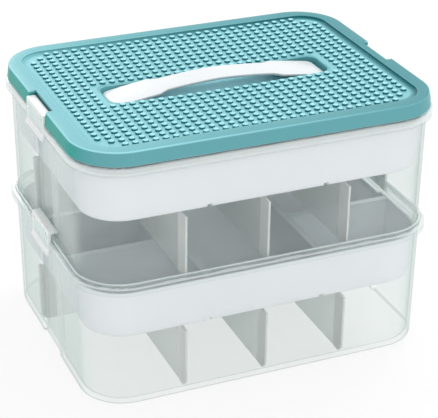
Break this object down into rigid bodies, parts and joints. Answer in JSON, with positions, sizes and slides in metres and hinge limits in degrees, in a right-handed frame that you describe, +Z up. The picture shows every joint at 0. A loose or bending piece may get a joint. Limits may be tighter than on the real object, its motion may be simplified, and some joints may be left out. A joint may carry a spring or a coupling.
{
  "type": "building block storage box",
  "caption": "Stacking storage box with two clear tubs, crossing dividers, lift-out white trays, a studded teal lid with a pull-up grip and white end latches.",
  "frame": {"origin": "middle of the underside, on the surface that the box stands on", "axes": "+X along the long side, towards the right end; +Z up; the front faces -Y"},
  "size_m": [0.308, 0.2328, 0.2222],
  "materials": {
    "clear_tub": "clear polypropylene with a faint mint tint, glossy",
    "divider": "frosted translucent",
    "tray": "satin white",
    "lid": "satin teal",
    "grip": "satin white",
    "latch": "satin white"
  },
  "bodies": {
    "lower_tub": {"lower_tub": "clear_tub"},
    "lower_long_divider": {"lower_long_divider": "divider"},
    "lower_cross_divider_left": {"lower_cross_divider_left": "divider"},
    "lower_cross_divider_middle": {"lower_cross_divider_middle": "divider"},
    "lower_cross_divider_right": {"lower_cross_divider_right": "divider"},
    "lower_tray": {"lower_tray": "tray"},
    "upper_tub": {"upper_tub": "clear_tub"},
    "upper_long_divider": {"upper_long_divider": "divider"},
    "upper_cross_divider_left": {"upper_cross_divider_left": "divider"},
    "upper_cross_divider_middle": {"upper_cross_divider_middle": "divider"},
    "upper_cross_divider_right": {"upper_cross_divider_right": "divider"},
    "upper_tray": {"upper_tray": "tray"},
    "lid": {"lid": "lid"},
    "handle": {"handle": "grip"},
    "tub_latch_left": {"tub_latch_left": "latch"},
    "tub_latch_right": {"tub_latch_right": "latch"},
    "lid_latch_left": {"lid_latch_left": "latch"},
    "lid_latch_right": {"lid_latch_right": "latch"}
  },
  "joints": [
    {"name": "lower_long_divider_lift", "type": "slide", "parent": "lower_tub", "child": "lower_long_divider", "axis": [0, 0, 1], "range_m": [0, 0.12]},
    {"name": "lower_cross_divider_left_lift", "type": "slide", "parent": "lower_long_divider", "child": "lower_cross_divider_left", "axis": [0, 0, 1], "range_m": [0, 0.12]},
    {"name": "lower_cross_divider_middle_lift", "type": "slide", "parent": "lower_cross_divider_left", "child": "lower_cross_divider_middle", "axis": [0, 0, 1], "range_m": [0, 0.12]},
    {"name": "lower_cross_divider_right_lift", "type": "slide", "parent": "lower_cross_divider_middle", "child": "lower_cross_divider_right", "axis": [0, 0, 1], "range_m": [0, 0.12]},
    {"name": "lower_tray_lift", "type": "slide", "parent": "lower_cross_divider_right", "child": "lower_tray", "axis": [0, 0, 1], "range_m": [0, 0.06]},
    {"name": "upper_long_divider_lift", "type": "slide", "parent": "upper_tub", "child": "upper_long_divider", "axis": [0, 0, 1], "range_m": [0, 0.12]},
    {"name": "upper_cross_divider_left_lift", "type": "slide", "parent": "upper_long_divider", "child": "upper_cross_divider_left", "axis": [0, 0, 1], "range_m": [0, 0.12]},
    {"name": "upper_cross_divider_middle_lift", "type": "slide", "parent": "upper_cross_divider_left", "child": "upper_cross_divider_middle", "axis": [0, 0, 1], "range_m": [0, 0.12]},
    {"name": "upper_cross_divider_right_lift", "type": "slide", "parent": "upper_cross_divider_middle", "child": "upper_cross_divider_right", "axis": [0, 0, 1], "range_m": [0, 0.12]},
    {"name": "upper_tray_lift", "type": "slide", "parent": "upper_cross_divider_right", "child": "upper_tray", "axis": [0, 0, 1], "range_m": [0, 0.06]},
    {"name": "upper_tub_lift", "type": "slide", "parent": "lower_tray", "child": "upper_tub", "axis": [0, 0, 1], "range_m": [0, 0.12]},
    {"name": "lid_lift", "type": "slide", "parent": "upper_tray", "child": "lid", "axis": [0, 0, 1], "range_m": [0, 0.06]},
    {"name": "handle_pull", "type": "slide", "parent": "lid", "child": "handle", "axis": [0, 0, 1], "range_m": [0, 0.004]},
    {"name": "tub_latch_left_hinge", "type": "hinge", "parent": "upper_tub", "child": "tub_latch_left", "pos_m": [-0.1453, 0, 0.1152], "axis": [0, 1, 0], "range_deg": [0, 85]},
    {"name": "tub_latch_right_hinge", "type": "hinge", "parent": "upper_tub", "child": "tub_latch_right", "pos_m": [0.1453, 0, 0.1152], "axis": [0, -1, 0], "range_deg": [0, 85]},
    {"name": "lid_latch_left_hinge", "type": "hinge", "parent": "lid", "child": "lid_latch_left", "pos_m": [-0.1453, 0, 0.2152], "axis": [0, 1, 0], "range_deg": [0, 85]},
    {"name": "lid_latch_right_hinge", "type": "hinge", "parent": "lid", "child": "lid_latch_right", "pos_m": [0.1453, 0, 0.2152], "axis": [0, -1, 0], "range_deg": [0, 85]}
  ]
}
